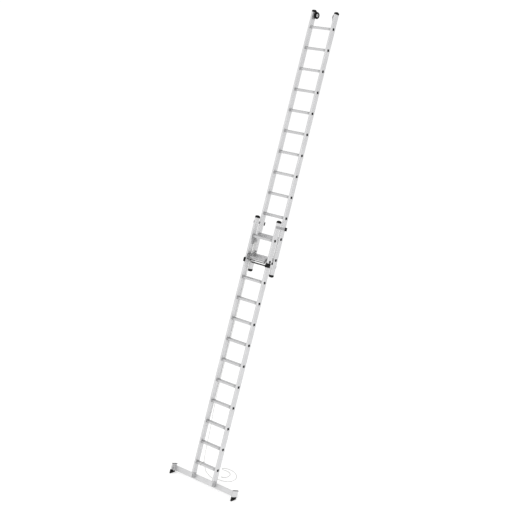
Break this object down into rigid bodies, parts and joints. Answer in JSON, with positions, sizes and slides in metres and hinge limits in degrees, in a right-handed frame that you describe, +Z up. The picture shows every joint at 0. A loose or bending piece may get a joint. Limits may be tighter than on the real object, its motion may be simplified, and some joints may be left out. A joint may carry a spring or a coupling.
{
  "type": "rope-operated extension ladder",
  "caption": "Two-section aluminium extension ladder with a crossbar foot, sliding upper section, rung hooks, pulley and hauling rope, leaning as it stands in use.",
  "frame": {"origin": "on the floor, midway between the centres of the two rubber soles", "axes": "+Z up, +Y towards the wall the ladder leans on, +X to the right of a climber facing the ladder"},
  "size_m": [1.204, 2.3614, 6.0089],
  "materials": {
    "aluminium_extrusion": "satin mill finish",
    "rung_aluminium": "satin, ribbed tread",
    "black_plastic": "moulded matte",
    "black_rubber": "matte",
    "tyre_rubber": "matte",
    "pale_plastic": "moulded",
    "zinc_steel": "zinc plated",
    "cast_aluminium": "as cast",
    "dark_metal": "dark grey coating",
    "rope": "braided"
  },
  "bodies": {
    "lower_section": {"lower_left_stile": "aluminium_extrusion", "lower_right_stile": "aluminium_extrusion", "lower_rung_01": "rung_aluminium", "lower_rung_02": "rung_aluminium", "lower_rung_03": "rung_aluminium", "lower_rung_04": "rung_aluminium", "lower_rung_05": "rung_aluminium", "lower_rung_06": "rung_aluminium", "lower_rung_07": "rung_aluminium", "lower_rung_08": "rung_aluminium", "lower_rung_09": "rung_aluminium", "lower_rung_10": "rung_aluminium", "lower_rung_11": "rung_aluminium", "lower_rung_12": "rung_aluminium", "lower_rung_plugs": "black_plastic", "lower_top_caps": "black_plastic", "crossbar": "aluminium_extrusion", "crossbar_legs": "aluminium_extrusion", "leg_caps": "black_plastic", "left_foot": "black_rubber", "right_foot": "black_rubber", "crossbar_brackets": "cast_aluminium", "crossbar_bolts": "zinc_steel", "upper_guide_straps": "zinc_steel", "upper_guide_pads": "black_plastic", "upper_guide_bushes": "zinc_steel", "pulley_bracket": "zinc_steel", "haul_rope": "rope", "rope_hitch": "rope", "rope_tail": "rope"},
    "upper_section": {"upper_left_stile": "aluminium_extrusion", "upper_right_stile": "aluminium_extrusion", "upper_rung_01": "rung_aluminium", "upper_rung_02": "rung_aluminium", "upper_rung_03": "rung_aluminium", "upper_rung_04": "rung_aluminium", "upper_rung_05": "rung_aluminium", "upper_rung_06": "rung_aluminium", "upper_rung_07": "rung_aluminium", "upper_rung_08": "rung_aluminium", "upper_rung_09": "rung_aluminium", "upper_rung_10": "rung_aluminium", "upper_rung_11": "rung_aluminium", "upper_rung_12": "rung_aluminium", "upper_rung_plugs": "black_plastic", "upper_top_caps": "black_plastic", "upper_bottom_caps": "black_plastic", "lower_guide_straps": "aluminium_extrusion", "lower_guide_pads": "black_plastic", "tie_rod": "dark_metal", "roller_brackets": "dark_metal", "roller_axles": "zinc_steel", "lift_rope": "rope"},
    "rung_hooks": {"rung_hooks": "zinc_steel", "hook_rods": "dark_metal"},
    "left_roller": {"left_roller_tyre": "tyre_rubber", "left_roller_hub": "pale_plastic"},
    "right_roller": {"right_roller_tyre": "tyre_rubber", "right_roller_hub": "pale_plastic"},
    "pulley": {"pulley_sheave": "pale_plastic"}
  },
  "joints": [
    {"name": "section_slide", "type": "slide", "parent": "lower_section", "child": "upper_section", "axis": [0, -0.3387, -0.9409], "range_m": [-0.14, 2.8], "deforming": ["lift_rope"]},
    {"name": "hook_pivot", "type": "hinge", "parent": "upper_section", "child": "rung_hooks", "pos_m": [0, 1.14542, 2.94534], "axis": [-1, 0, 0], "range_deg": [0, 35]},
    {"name": "left_roller_spin", "type": "hinge", "parent": "upper_section", "child": "left_roller", "pos_m": [-0.161, 2.27439, 5.93358], "axis": [1, 0, 0], "continuous": true},
    {"name": "right_roller_spin", "type": "hinge", "parent": "upper_section", "child": "right_roller", "pos_m": [0.161, 2.27439, 5.93358], "axis": [1, 0, 0], "continuous": true},
    {"name": "pulley_spin", "type": "hinge", "parent": "lower_section", "child": "pulley", "pos_m": [-0.175, 1.16446, 3.08091], "axis": [1, 0, 0], "continuous": true}
  ],
  "couplings": [
    {"joint": "pulley_spin", "follows": "section_slide", "rad_per_m": -58.824}
  ]
}
